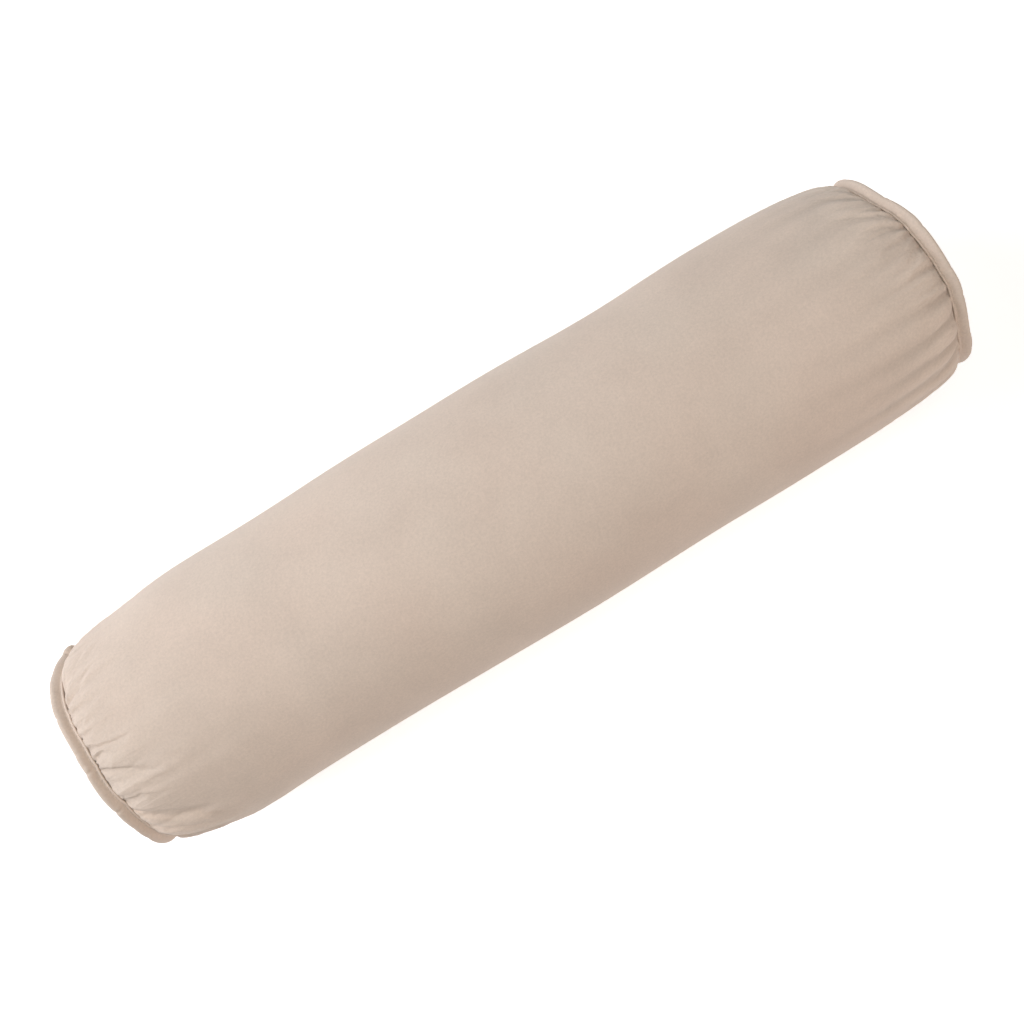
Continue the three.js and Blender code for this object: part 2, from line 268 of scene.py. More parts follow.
def thicken(piece, thickness):
    modifier = piece.modifiers.new("thickness", "SOLIDIFY")
    modifier.thickness = thickness
    modifier.offset = -1.0
    modifier.use_even_offset = False
    apply_modifiers(piece)


@contextmanager
def edited(piece):
    work = bmesh.new()
    work.from_mesh(piece.data)
    yield work
    work.to_mesh(piece.data)
    work.free()


def apply_modifiers(piece):
    bpy.context.view_layer.update()
    evaluated = piece.evaluated_get(bpy.context.evaluated_depsgraph_get())
    mesh = bpy.data.meshes.new_from_object(evaluated)
    piece.modifiers.clear()
    old, piece.data = piece.data, mesh
    bpy.data.meshes.remove(old)


def finish_piece(piece, slot, node, body="bolster", material=None):
    """Gives a piece its material, which its slot picks unless one is named, puts it in its body,
    and hides the CAD node it stands for.
    """
    piece.data.materials.clear()
    piece.data.materials.append(materials[material or slot])
    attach(piece, body)
    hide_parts(node)


# ---- Gathers ----

# Where the gathered cloth bunches up on each seam: degrees from the top towards +Y, and how much.
BUNCHES = {
    "left": [(88, 0.7), (62, 0.3), (28, 0.9), (8, 0.5), (-3, 0.9), (-29, 1.0), (-44, 0.4),
             (-57, 0.9), (-88, 0.25), (-131, 1.0), (171, 0.8), (151, 0.4)],
    "right": [(74, 0.3), (39, 0.6), (24, 0.3), (14, 0.6), (-11, 0.3), (-27, 0.5), (-50, 0.6),
              (-66, 0.4), (-96, 0.5), (-140, 0.7), (168, 0.7), (150, 0.3)],
}
SEEDS = {"left": 21, "right": 37}
BUNCH_WIDTH = 3 * MM

# Columns stand closer together on top, where the cover shows, than underneath.
TABLE_ANGLES = np.linspace(0, TAU, 4 * 360 + 1)
EXTRA_ON_TOP = 1.2
TABLE_SHARES = np.cumsum(1 + EXTRA_ON_TOP * smooth((np.cos(TABLE_ANGLES) + 0.25) / 0.5))
TABLE_SHARES = (TABLE_SHARES - TABLE_SHARES[0]) / (TABLE_SHARES[-1] - TABLE_SHARES[0])


def angle_at(share):
    return np.interp(share, TABLE_SHARES, TABLE_ANGLES)


def share_at(angle):
    return np.interp(angle % TAU, TABLE_ANGLES, TABLE_SHARES)


def bunching(end, phi, reach=BUNCH_WIDTH, sharp=2.0):
    """Bumps, one at each bunch of a seam."""
    total = np.zeros(np.shape(phi))
    for degrees, weight in BUNCHES[end]:
        away = np.abs(turn_from(phi, math.radians(degrees))) * SEAM_RADIUS
        total = total + weight * np.exp(-((away / reach) ** sharp))
    return total


SIM_COLUMNS = 264
SIM_REACH = 120 * MM
SIM_GATHER_FRAMES = 14
SIM_FRAMES = 28
SIM_SETTINGS = {
    "quality": 5, "mass": 0.1, "tension_stiffness": 20, "compression_stiffness": 20,
    "shear_stiffness": 5, "bending_model": "ANGULAR", "bending_stiffness": 0.04,
    "tension_damping": 5, "compression_damping": 5, "shear_damping": 5, "bending_damping": 0.5,
    "air_damping": 2, "vertex_group_mass": "held", "use_pressure": True,
    "uniform_pressure_force": 120,
}
LOOSE_RADIUS = 75 * MM  # of the cloth's end before it is drawn in
FLARE = 30 * MM
UNEVEN = 0.16
ROUGHNESS = 0.12 * MM


def cloth_before_sewing(end, steps):
    """The cloth as a loose tube, wider than its seam: angles sewn, angles loose, points."""
    seed = SEEDS[end]
    phi = angle_at(np.arange(SIM_COLUMNS) / SIM_COLUMNS)
    share = 1 + UNEVEN * turns(phi, seed + 2, 10, 10, 44) + bunching(end, phi)
    share = share * np.diff(np.append(phi, TAU))
    loose_phi = TAU * np.concatenate([[0], np.cumsum(share)[:-1]]) / share.sum()
    rng = np.random.default_rng(seed)
    radius = BODY_RADIUS - (BODY_RADIUS - LOOSE_RADIUS) * np.exp(-steps / FLARE)
    radius = radius[:, None] + rng.normal(0, ROUGHNESS, (len(steps), SIM_COLUMNS))
    x = on_profile(steps[-1])[0] + steps[-1] - steps
    return phi, loose_phi, place(x[:, None], radius, loose_phi[None, :])


def set_cloth(modifier):
    for key, value in SIM_SETTINGS.items():
        setattr(modifier.settings, key, value)
    modifier.settings.effector_weights.gravity = 0
    modifier.collision_settings.use_collision = False
    modifier.point_cache.frame_start = 1
    modifier.point_cache.frame_end = SIM_FRAMES + 1


def sew_and_fill(end, steps):
    """The cloth's points after its end is drawn in to the seam and the filling presses it out."""
    phi, loose_phi, loose = cloth_before_sewing(end, steps)
    x, radius = (c[:, None] for c in on_profile(steps)[:2])
    near = np.exp(-steps / FLARE)[:, None]
    sewn = place(x, radius, phi * near + loose_phi * (1 - near))
    rows = len(steps)
    faces = turned_over(grid_faces(rows, SIM_COLUMNS))
    cloth = new_object("cloth_to_sew", loose, faces)
    cloth.shape_key_add(name="Basis")
    key = cloth.shape_key_add(name="sewn")
    key.data.foreach_set("co", sewn.reshape(-1).astype(np.float32))
    for value, at in ((0, 1), (1, SIM_GATHER_FRAMES)):
        key.value = value
        key.keyframe_insert("value", frame=at)
    held = list(range(SIM_COLUMNS)) + list(range((rows - 1) * SIM_COLUMNS, rows * SIM_COLUMNS))
    cloth.vertex_groups.new(name="held").add(held, 1.0, "REPLACE")
    set_cloth(cloth.modifiers.new("cloth", "CLOTH"))
    for number in range(1, SIM_FRAMES + 1):
        bpy.context.scene.frame_set(number)
    evaluated = cloth.evaluated_get(bpy.context.evaluated_depsgraph_get())
    points = np.empty(rows * SIM_COLUMNS * 3, np.float32)
    evaluated.to_mesh().vertices.foreach_get("co", points)
    evaluated.to_mesh_clear()
    bpy.context.scene.frame_set(1)
    mesh = cloth.data
    bpy.data.objects.remove(cloth)
    bpy.data.meshes.remove(mesh)
    for action in list(bpy.data.actions):
        bpy.data.actions.remove(action)
    return phi, points.reshape(rows, SIM_COLUMNS, 3).astype(float)


def without_slow_waves(values, slowest):
    """Takes out the mean and the slow waves round each row."""
    spectrum = np.fft.rfft(values, axis=1)
    spectrum[:, :slowest] = 0
    return np.fft.irfft(spectrum, values.shape[1], axis=1)


FOLD_STRENGTH = {"left": 0.95, "right": 0.62}
DEEPEST_FOLD = 1.7 * MM
HIGHEST_FOLD = 3 * MM
FURTHEST_ALONG = 0.3 * MM
SLOWEST_WAVE = 5
FOLDS_FULL, FOLDS_FADE = 65 * MM, 45 * MM


def held_in(values, lowest, highest):
    """Eases values off towards their limits: the pillow inside holds the cloth from behind."""
    return np.where(values < 0, -lowest * np.tanh(-values / lowest),
                    highest * np.tanh(values / highest))


def gathers_of(end, steps):
    """How far the gathers move the cloth: along x, out, and round, for each row and column."""
    near = steps[steps < SIM_REACH]
    moves = np.zeros((3, len(steps), SIM_COLUMNS))
    phi, points = sew_and_fill(end, near)
    radius = np.hypot(points[..., 1], points[..., 2] - AXIS_HEIGHT)
    angle = np.arctan2(points[..., 1], points[..., 2] - AXIS_HEIGHT)
    fade = 1 - smooth((near[:, None] - FOLDS_FULL) / FOLDS_FADE)
    along_x = without_slow_waves(points[..., 0], SLOWEST_WAVE) * FOLD_STRENGTH[end]
    out = without_slow_waves(radius, SLOWEST_WAVE) * FOLD_STRENGTH[end]
    moves[0, : len(near)] = held_in(along_x, DEEPEST_FOLD, FURTHEST_ALONG) * fade
    moves[1, : len(near)] = held_in(out, DEEPEST_FOLD, HIGHEST_FOLD) * fade
    moves[2, : len(near)] = turn_from(angle, phi[None, :]) * fade
    return moves


def read_round(values, phi):
    """Values known at the simulation's columns, read at any angles."""
    count = values.shape[-1]
    at = share_at(phi) * count
    i = np.floor(at).astype(int)
    f = at - i
    return catmull_rom(*(values[..., (i + k) % count] for k in (-1, 0, 1, 2)), f)


def fold_across(across, crest, spread):
    """A fold's height across it, in half widths: a valley between two low crests."""
    return crest * np.exp(-((np.abs(across) - 2.0) ** 2) / spread) - hump(across)


SMALL_PLEATS = {"left": 84, "right": 108}
SHORT_SHARE = 0.62
# Ranges in mm.
SHORT_LENGTH, LONG_LENGTH = (6, 18), (35, 85)
PLEAT_DEPTH, PLEAT_HALF_WIDTH = (0.2, 0.65), (0.75, 1.2)


def small_pleats(end, along, phi, radius):
    """Short pleats between the bunches."""
    rng = np.random.default_rng(SEEDS[end] + 50)
    total = np.zeros(np.broadcast(along, phi).shape)
    for k in range(SMALL_PLEATS[end]):
        centre = TAU * (k + rng.uniform(-0.45, 0.45)) / SMALL_PLEATS[end]
        lengths = SHORT_LENGTH if rng.random() < SHORT_SHARE else LONG_LENGTH
        length = rng.uniform(*lengths) * MM
        depth = rng.uniform(*PLEAT_DEPTH) * MM
        drift = rng.normal(0, 0.03)
        wide = rng.uniform(*PLEAT_HALF_WIDTH) * MM + 0.05 * along
        across = turn_from(phi, centre + drift * along / length) * radius / wide
        total += depth * np.exp(-((along / length) ** 1.6)) * fold_across(across, 0.4, 1.1)
    return total


# Soft folds that reach far in: degrees at the seam, drift in degrees; length, depth and half
# width in mm.
LONG_FOLDS = {
    "left": [(-14, 10, 70, 0.35, 4.0), (-45, 9, 85, 0.45, 4.5), (30, -6, 60, 0.3, 4.0),
             (-68, 9, 90, 0.45, 4.0), (130, 5, 70, 0.4, 4.0), (-150, -6, 75, 0.4, 4.0)],
    "right": [(-22, 3, 70, 0.6, 2.8), (-36, 4, 85, 0.85, 3.0), (-48, 3, 75, 0.7, 2.7),
              (-60, 4, 90, 0.8, 3.0), (-73, 3, 65, 0.6, 2.8), (8, -2, 60, 0.35, 3.5),
              (33, -3, 80, 0.45, 4.0), (140, 5, 70, 0.4, 4.0), (-140, -6, 80, 0.4, 4.0)],
}


def long_folds(end, along, phi, radius):
    """The soft folds that the photo shows furthest in from each seam."""
    total = np.zeros(np.broadcast(along, phi).shape)
    for degrees, drift, length, depth, half_width in LONG_FOLDS[end]:
        centre = math.radians(degrees) + math.radians(drift) * along / (length * MM)
        across = turn_from(phi, centre) * radius / (half_width * MM + 0.03 * along)
        reach = hump(along / (length * MM))
        total += depth * MM * reach * fold_across(across, 0.35, 1.2)
    return total


def seam_pucker(end, along, phi):
    """Tight little folds that live only beside the seam."""
    fold = turns(phi, SEEDS[end] + 7, 10, 70, 118)
    here = 0.6 + 0.4 * turns(phi, SEEDS[end] + 8, 5, 2, 9)
    return 0.34 * MM * fold * here * np.exp(-along / (3.5 * MM))


def seam_wobble(end, phi):
    """(shift along the axis, change of radius) of a seam, with a kink at each bunch."""
    seed = SEEDS[end]
    shift = turns(phi, seed + 100, 5, 2, 6) * 0.55 * MM
    swell = turns(phi, seed + 200, 5, 2, 5) * 0.45 * MM
    kink = bunching(end, phi, 6.5 * MM, 1.0)
    return ENDS[end] * (shift - 0.95 * MM * kink), swell - 0.35 * MM * kink


# ---- Cover ----

FIRST_STEP, STEP_GROWTH, LONGEST_STEP = 0.7 * MM, 0.05, 8 * MM


def station_steps():
    """Distances from the seam: close together beside it and wide apart in the middle."""
    along, steps = 0.0, [0.0]
    while along < HALF_LENGTH:
        along += min(FIRST_STEP + STEP_GROWTH * along, LONGEST_STEP)
        steps.append(along)
    steps = np.array(steps) * (HALF_LENGTH / steps[-1])
    slot_end = HALF_LENGTH - SLOT_HALF
    steps[np.argmin(np.abs(steps - slot_end))] = slot_end
    return steps


HALF_SEAM = [0.35, 0.8, 1.5, 2.4, 3.4, 4.5]
# The columns beside the zip, whose slot is cut out between the outermost two.
SEAM_COLUMNS = np.array([-c for c in reversed(HALF_SEAM)] + [0] + HALF_SEAM) * MM
AROUND = 330
LIP = [3.0 * MM, 2.0 * MM, 1.0 * MM]
LIP_DEPTH = 0.45 * MM
# How strongly painted shade follows the gathers: the colour is darkened in their hollows as painted
# shade and lightened on their crests as painted highlight. A hollow FOLD_DEPTH deep counts as 1.
CREASE_SHADE = {"left": 0.4, "right": 2.0}
FOLD_DEPTH = 1.0 * MM
PALEST, DARKEST = -1, 1.6


def cover_columns():
    """The angles of the cover's columns: first those beside the zip, then the rest round."""
    beside = ZIP_PHI + SEAM_COLUMNS / BODY_RADIUS
    first, last = share_at(beside[-1]), 1 + share_at(beside[0])
    shares = np.linspace(first, last, AROUND)[1:-1]
    return np.concatenate([beside, angle_at(shares % 1)])


def end_rows(end, steps, phi):
    """The cover's points from one seam to the middle, and how hollow it is at each of them, which
    sets the shade and highlight painted there.
    """
    side = ENDS[end]
    x, radius, normal_x, normal_r = [c[:, None] for c in on_profile(steps)]
    along, ring = steps[:, None], phi[None, :]
    beside_slot = smooth((along - 40 * MM) / (45 * MM)) * (1 - calm_near_zip(ring))
    free = 1 - beside_slot
    at_seam = 1 - 0.4 * np.exp(-along / (3 * MM))
    move_x, move_r, move_phi = read_round(gathers_of(end, steps), phi) * free * at_seam
    lift = small_pleats(end, along, ring, radius) + long_folds(end, along, ring, radius)
    lift = lift + seam_pucker(end, along, ring)
    lift = lift * free - zip_seam_dip(x, ring)
    shift, swell = seam_wobble(end, ring)
    fade_to_seam = np.exp(-along / (18 * MM))
    tucked = 1.5 * MM * (1 - np.exp(-along / (1.0 * MM))) * np.exp(-along / (12 * MM))
    x = x + normal_x * np.minimum(lift, 0) + move_x - tucked + side * shift * fade_to_seam
    radius = radius + normal_r * lift + move_r + swell * fade_to_seam
    # Painted shade: darker colour in the gathers' hollows, and painted highlight on their crests.
    hollow = CREASE_SHADE[end] * -(lift + move_r) / FOLD_DEPTH
    return place(side * x, radius, ring + move_phi), np.clip(hollow, PALEST, DARKEST)


def zip_seam_dip(x, phi):
    """Beyond the zip's ends its seam goes on, plainly sewn, as a narrow valley."""
    across = turn_from(phi, ZIP_PHI) * BODY_RADIUS
    beyond = smooth((x - SLOT_HALF) / (4 * MM))
    valley = 0.55 * MM * hump(across / (0.55 * MM))
    return beyond * (valley + 0.25 * MM * hump(across / (2.2 * MM)))


def lip_rows(end, phi):
    """The cover's raw edge, tucked into the binding."""
    side = ENDS[end]
    shift, swell = seam_wobble(end, phi)
    rows = []
    for along in LIP:
        x, radius = beside_seam(along, LIP_DEPTH)
        rows.append(place(side * x + shift, radius + swell, phi))
    return np.array(rows)


def beside_seam(along, across):
    """(x, radius) of a point between a binding's layers: along it, and across it outwards."""
    x = SEAM_X + along * math.cos(BINDING_TILT) - across * math.sin(BINDING_TILT)
    radius = SEAM_RADIUS + along * math.sin(BINDING_TILT) + across * math.cos(BINDING_TILT)
    return x, radius


def build_cover():
    steps = station_steps()
    phi = cover_columns()
    halves, shades = [], []
    for end in ENDS:
        rows, hollow = end_rows(end, steps, phi)
        halves.append(np.concatenate([lip_rows(end, phi), rows]))
        shades.append(np.concatenate([np.zeros((len(LIP), len(phi))), hollow]))
    points = settle(np.concatenate([halves[0], halves[1][::-1][1:]]))
    hollow = np.concatenate([shades[0], shades[1][::-1][1:]])
    rows, columns = points.shape[:2]
    zip_x = points[:, len(HALF_SEAM), 0]
    keep = np.ones((rows, columns), bool)
    inside = np.abs(zip_x) < SLOT_HALF - 0.1 * MM
    slot_rows = inside[:-1] | inside[1:]
    keep[:-1, : len(SEAM_COLUMNS) - 1] = ~slot_rows[:, None]
    piece = new_object("cover", points, grid_faces(rows, columns, keep=keep))
    # The hollow layer carries the painted shade and painted highlight of the gathers into the
    # cover's colour.
    layer = piece.data.attributes.new("hollow", "FLOAT", "POINT")
    layer.data.foreach_set("value", hollow.ravel())
    drop_loose(piece)
    thicken(piece, CLOTH)
    return piece


def drop_loose(piece):
    """Deletes the points inside the zip's slot, which no face uses."""
    with edited(piece) as work:
        bmesh.ops.delete(work, geom=[v for v in work.verts if not v.link_faces], context="VERTS")


# ---- Bindings ----

# Distance from the seam and from the strip's middle, in mm: a stitched edge, then the fold.
BINDING_OUTLINE = [
    (0.5, 0.95), (-0.15, 1.3), (-0.1, 2.0), (0.5, 2.4), (1.1, 2.1), (1.45, 1.15), (1.85, 0.95),
    (2.4, 1.1), (3.2, 1.4), (4.4, 1.8), (5.6, 2.0), (6.6, 1.9), (7.3, 1.5), (7.65, 0.95),
    (7.7, 0.35),
]
BINDING_LINING = [(6.8, 0.3), (6.1, 0.75), (4.3, 0.95), (2.4, 0.85), (1.2, 0.75)]
BINDING_STATIONS = 520
OTHER_CREASES = {"left": 16, "right": 26}


def smooth_loop(points, count):
    """count points on a smooth curve through a closed list of points."""
    points = np.array(points, float)
    n = len(points)
    t = np.linspace(0, n, count, endpoint=False)
    i, f = t.astype(int), (t % 1)[:, None]
    return catmull_rom(*(points[(i + k) % n] for k in (-1, 0, 1, 2)), f)


def binding_loop(count=72):
    """The strip's section: (along, across) points round both faces and back inside."""
    mirrored = [(s, -m) for s, m in reversed(BINDING_OUTLINE)]
    lining = BINDING_LINING[::-1]
    inner = [(s, -m) for s, m in lining] + BINDING_LINING
    return smooth_loop(BINDING_OUTLINE + mirrored + inner, count) * MM


def creases(end, count):
    """Where the binding is creased across: angle, depth, slant."""
    rng = np.random.default_rng(SEEDS[end] + 300)
    at_bunches = [
        (math.radians(degrees), weight * rng.uniform(0.45, 0.8) * MM, rng.normal(0, 0.25))
        for degrees, weight in BUNCHES[end]
    ]
    others = [
        (rng.uniform(0, TAU), rng.uniform(0.1, 0.35) * MM, rng.normal(0, 0.35))
        for _ in range(count)
    ]
    return at_bunches + others


# The left binding's join: its angle, half length, and how much thicker and steeper it is there.
JOIN_PHI, JOIN_HALF, JOIN_EDGE = math.radians(90), 6.5 * MM, 0.9 * MM
JOIN_THICKER, JOIN_STEEPER = 0.5, 0.75


def join_share(end, phi):
    """From 0 to 1 where the left binding's two ends lap; the right one's join isn't seen."""
    if end == "right":
        return 0 * phi
    away = np.abs(turn_from(phi, JOIN_PHI)) * SEAM_RADIUS
    return smooth((JOIN_HALF - away) / JOIN_EDGE)


def strip_thickness(end, phi):
    """The binding's thickness as a share of its usual one."""
    uneven = 0.10 * turns(phi, SEEDS[end] + 500, 6, 6, 20)
    return 1 + uneven + JOIN_THICKER * join_share(end, phi)


def strip_lean(end, phi):
    """The angle between the binding and the bolster's axis; the lapped part stands up more."""
    wave = 0.08 * turns(phi, SEEDS[end] + 400, 5, 2, 7)
    return BINDING_TILT + wave + JOIN_STEEPER * join_share(end, phi)


def on_strip(end, along, across, phi):
    """Points on a binding: along it from the seam, across it outwards, and round it."""
    lean = strip_lean(end, phi)
    x = SEAM_X + along * np.cos(lean) - across * np.sin(lean)
    radius = SEAM_RADIUS + along * np.sin(lean) + across * np.cos(lean)
    shift, swell = seam_wobble(end, phi)
    return settle(place(ENDS[end] * x + shift, radius + swell, phi))


def build_binding(end):
    loop = binding_loop()
    phi = round_angles(BINDING_STATIONS)
    along, across = loop[:, :1], loop[:, 1:]
    ring = phi[None, :]
    out = smooth(along / BINDING_WIDTH)
    nick = np.zeros_like(ring * along)
    for centre, depth, slant in creases(end, OTHER_CREASES[end]):
        distance = turn_from(ring, centre) * SEAM_RADIUS - slant * along
        nick += depth * hump(distance / (0.75 * MM))
        nick -= 0.35 * depth * hump((np.abs(distance) - 2.0 * MM) / (1.0 * MM))
    band = smooth((along - 1.6 * MM) / (1.5 * MM))
    across = across * strip_thickness(end, ring) - np.sign(across) * nick * band * 0.8
    along = along - nick * out * 0.3
    along = along + 0.35 * MM * out * turns(ring, SEEDS[end] + 600, 6, 3, 12)
    points = on_strip(end, along, across, ring)
    faces = grid_faces(*points.shape[:2], wrap_rows=True)
    if end == "right":
        faces = turned_over(faces)
    return new_object(f"{end}_binding_strip", points, faces)


# ---- Stitching ----

STITCH_PITCH = 2.7 * MM
STITCH_GAP = 0.45 * MM
THREAD_RADIUS = 0.22 * MM
STITCH_LINE = (1.65 * MM, 1.06 * MM)


def stitch_mesh(name, starts, ends, ups, sides=6, steps=7):
    """One bent thread for each stitch, sinking into the cloth at both of its ends."""
    t = np.linspace(0, 1, steps)
    bow = np.sin(t * math.pi) ** 0.6
    points, faces = [], []
    for start, end, up in zip(starts, ends, ups):
        way = end - start
        beside = np.cross(way / np.linalg.norm(way), up)
        beside /= np.linalg.norm(beside)
        base = len(points)
        for k in range(steps):
            centre = start + way * t[k] + up * THREAD_RADIUS * (1.5 * bow[k] - 0.9)
            size = THREAD_RADIUS * (0.55 + 0.45 * bow[k])
            for j in range(sides):
                angle = TAU * j / sides
                points.append(centre + size * (math.cos(angle) * beside + math.sin(angle) * up))
        for k in range(steps - 1):
            for j in range(sides):
                a, b = base + k * sides + j, base + k * sides + (j + 1) % sides
                faces.append((a, b, b + sides, a + sides))
        faces.append(tuple(base + j for j in reversed(range(sides))))
        faces.append(tuple(base + (steps - 1) * sides + j for j in range(sides)))
    return new_object(name, np.array(points), faces)


def binding_stitches(end, face, name):
    """The row of stitches on a binding's outer face (1) or its inner face (-1)."""
    count = round(TAU * (SEAM_RADIUS + 1 * MM) / STITCH_PITCH)
    length = TAU / count * (1 - STITCH_GAP / STITCH_PITCH)
    start = TAU * np.arange(count) / count
    middle = start + length / 2
    up = stitch_line(end, face, middle, 1 * MM) - stitch_line(end, face, middle)
    up /= np.linalg.norm(up, axis=1)[:, None]
    starts, ends = stitch_line(end, face, start), stitch_line(end, face, start + length)
    return stitch_mesh(name, starts, ends, up)


def stitch_line(end, face, phi, above=0.0):
    """Points on the stitch line of a binding's face."""
    along, across = STITCH_LINE
    return on_strip(end, along, face * (across * strip_thickness(end, phi) + above), phi)


# ---- End panels ----

PANEL_RINGS, PANEL_COLUMNS = 45, 300
PANEL_RADIUS = 0.988  # as a share of the seam's
SAG = 0.6 * MM


def build_end_panel(end):
    side = ENDS[end]
    seed = SEEDS[end] + 700
    turned = np.linspace(0, math.pi / 2, PANEL_RINGS + 1)[1:]
    radii = SEAM_RADIUS * np.sin(turned) * PANEL_RADIUS
    phi = round_angles(PANEL_COLUMNS)
    r, ring = radii[:, None], phi[None, :]
    share = r / SEAM_RADIUS
    x = SEAM_X + CROWN_HEIGHT * (1 - share**2)
    pucker = turns(ring, seed, 12, 18, 60) * 0.35 * MM * smooth((share - 0.78) / 0.2)
    soft = turns(ring + 1.3 * share, seed + 1, 6, 2, 7) * 0.5 * MM * share * (1 - share**4)
    x = x - SAG * (1 - share**2) + pucker + soft
    shift, swell = seam_wobble(end, ring)
    points = place(side * x + shift * share**3, r + swell * share**2, ring)
    lip = []
    for along in (1.0, 2.4):
        lip_x, lip_r = beside_seam(along * MM, -LIP_DEPTH)
        lip.append(place(side * lip_x + shift, lip_r + swell, ring)[0])
    points = settle(np.concatenate([points, np.array(lip)]))
    centre = settle(place(np.array([side * (SEAM_X + CROWN_HEIGHT - SAG)]), 0.0, 0.0))
    piece = new_disc(f"{end}_end_cloth", points, centre, side)
    thicken(piece, CLOTH)
    return piece


# ---- Zip ----
ZIP_OUT = np.array([0, math.cos(ZIP_ANGLE), -math.sin(ZIP_ANGLE)])
ZIP_UP = np.array([0, math.sin(ZIP_ANGLE), math.cos(ZIP_ANGLE)])


def zip_points(x, up, out):
    """Points from the zip's own directions: along it, up across it, and out from the axis."""
    x, up, out = np.broadcast_arrays(x, up, out)
    flat = np.stack([x, np.zeros_like(x), np.full_like(x, AXIS_HEIGHT)], -1)
    return flat + up[..., None] * ZIP_UP + out[..., None] * ZIP_OUT


def node_out(node):
    """Lowest and highest distance of a CAD node from the axis along the zip's outward direction."""
    co = np.array([v.co for v in frame["nodes"][node].data.vertices], float)
    out = (co - [0, 0, AXIS_HEIGHT]) @ ZIP_OUT
    return out.min(), out.max()


TOOTH_PITCH = 1.45 * MM
WIRE_RADIUS = 0.3 * MM
COIL_NEAR, COIL_FAR = 0.62 * MM, 2.6 * MM  # from the zip's middle line
COIL_GAP = 0.4 * MM
LOOP_STEPS, WIRE_SIDES = 14, 6


def build_coil(name, side, node):
    """A nylon coil: one loop after another, with its heads at the zip's middle."""
    low, high = node_out(node)
    middle, rise = (low + high) / 2, (high - low) / 2
    half = (COIL_FAR - COIL_NEAR) / 2 - WIRE_RADIUS
    centre = (COIL_FAR + COIL_NEAR) / 2
    count = int(2 * COIL_HALF / TOOTH_PITCH)
    t = np.arange(count * LOOP_STEPS + 1) / LOOP_STEPS
    angle = TAU * t
    x = -COIL_HALF + COIL_GAP + (2 * COIL_HALF - 2 * COIL_GAP) * t / count
    across = np.sign(np.cos(angle)) * np.abs(np.cos(angle)) ** 0.7
    up = side * (centre + half * across)
    out = middle + (rise - WIRE_RADIUS) * np.sign(np.sin(angle)) * np.abs(np.sin(angle)) ** 0.8
    return tube_mesh(name, zip_points(x, up, out), WIRE_RADIUS, WIRE_SIDES)


def tube_mesh(name, line, radius, sides):
    """A round wire along a line of points, with closed ends."""
    way = np.gradient(line, axis=0)
    way /= np.linalg.norm(way, axis=1)[:, None]
    guide = np.array([1.0, 0, 0])
    first = np.cross(way, guide)
    first /= np.linalg.norm(first, axis=1)[:, None]
    second = np.cross(way, first)
    angle = TAU * np.arange(sides) / sides
    cos, sin = np.cos(angle)[None, :, None], np.sin(angle)[None, :, None]
    points = line[:, None] + radius * (cos * first[:, None] + sin * second[:, None])
    count = len(line)
    faces = grid_faces(count, sides)
    faces.append(tuple(range(sides)))
    faces.append(tuple((count - 1) * sides + j for j in reversed(range(sides))))
    return new_object(name, points, faces)


TAPE_EDGES = (0.8 * MM, 10.9 * MM)  # from the zip's middle line
TAPE_CLOTH = 0.55 * MM


def build_tape(name, side, node):
    """A woven tape that follows the cover's inside, with a corded edge beside the teeth."""
    radius = node_out(node)[1]
    x = np.linspace(-TAPE_HALF, TAPE_HALF, 240)[:, None]
    up = np.linspace(*TAPE_EDGES, 40)[None, :]
    cord = 0.1 * MM * hump((up - 1.3 * MM) / (0.4 * MM))
    ripple = 0.05 * MM * np.sin(TAU * x / (17 * MM)) * smooth((up - 5 * MM) / (3 * MM))
    points = place(x, radius - 0.05 * MM + cord + ripple, ZIP_PHI - side * up / radius)
    faces = grid_faces(*points.shape[:2], wrap_columns=False)
    piece = new_object(name, points, turned_over(faces) if side > 0 else faces)
    thicken(piece, TAPE_CLOTH)
    return piece


def zip_stitches(name, side, node):
    up = side * (SLOT_HALF_WIDTH + 1.0 * MM)
    count = round(2 * SLOT_HALF / STITCH_PITCH)
    x = -SLOT_HALF + STITCH_PITCH * np.arange(count)
    base = node_out(node)[0] + 0.12 * MM
    starts = zip_points(x, up, base)
    ends = zip_points(x + STITCH_PITCH - STITCH_GAP, up, base)
    ups = np.tile(ZIP_OUT, (count, 1))
    return stitch_mesh(name, starts, ends, ups)


def rounded_copy(name, node, bevel, segments=3):
    """The CAD solid with its edges broken, as on a cast or stamped part."""
    piece = in_scene(name, frame["nodes"][node].data.copy())
    flat = math.radians(2)
    with edited(piece) as work:
        bmesh.ops.remove_doubles(work, verts=work.verts, dist=1e-6)
        bmesh.ops.dissolve_limit(work, angle_limit=flat, verts=work.verts, edges=work.edges)
    modifier = piece.modifiers.new("edges", "BEVEL")
    modifier.width = bevel
    modifier.segments = segments
    modifier.limit_method = "ANGLE"
    modifier.angle_limit = math.radians(28)
    modifier.harden_normals = False
    apply_modifiers(piece)
    piece.data.shade_smooth()
    piece.data.set_sharp_from_angle(angle=math.radians(38))
    return piece


# ---- Inner pillow ----
FILLING_INSET = 3.7 * MM
LINER_INSET = 2.9 * MM
LINER_CLOTH = 0.35 * MM
LINER_END_CLOTH = 0.4 * MM
CLOSE_REACH = 20 * MM  # the rows stand closer together this near the seam


def inner_profile(inset, rows):
    """(x, radius) inside the cover, from beside the right seam to the middle."""
    along, x, radius, _, _ = profile_table(inset)
    stations = np.concatenate([
        np.linspace(0, CLOSE_REACH, 12, endpoint=False),
        np.linspace(CLOSE_REACH, along[-1], rows),
    ])
    return np.interp(stations, along, x), np.interp(stations, along, radius)


def both_halves(x, radius):
    """The profile from end to end, as columns."""
    return (np.concatenate([x, -x[::-1][1:]])[:, None],
            np.concatenate([radius, radius[::-1][1:]])[:, None])


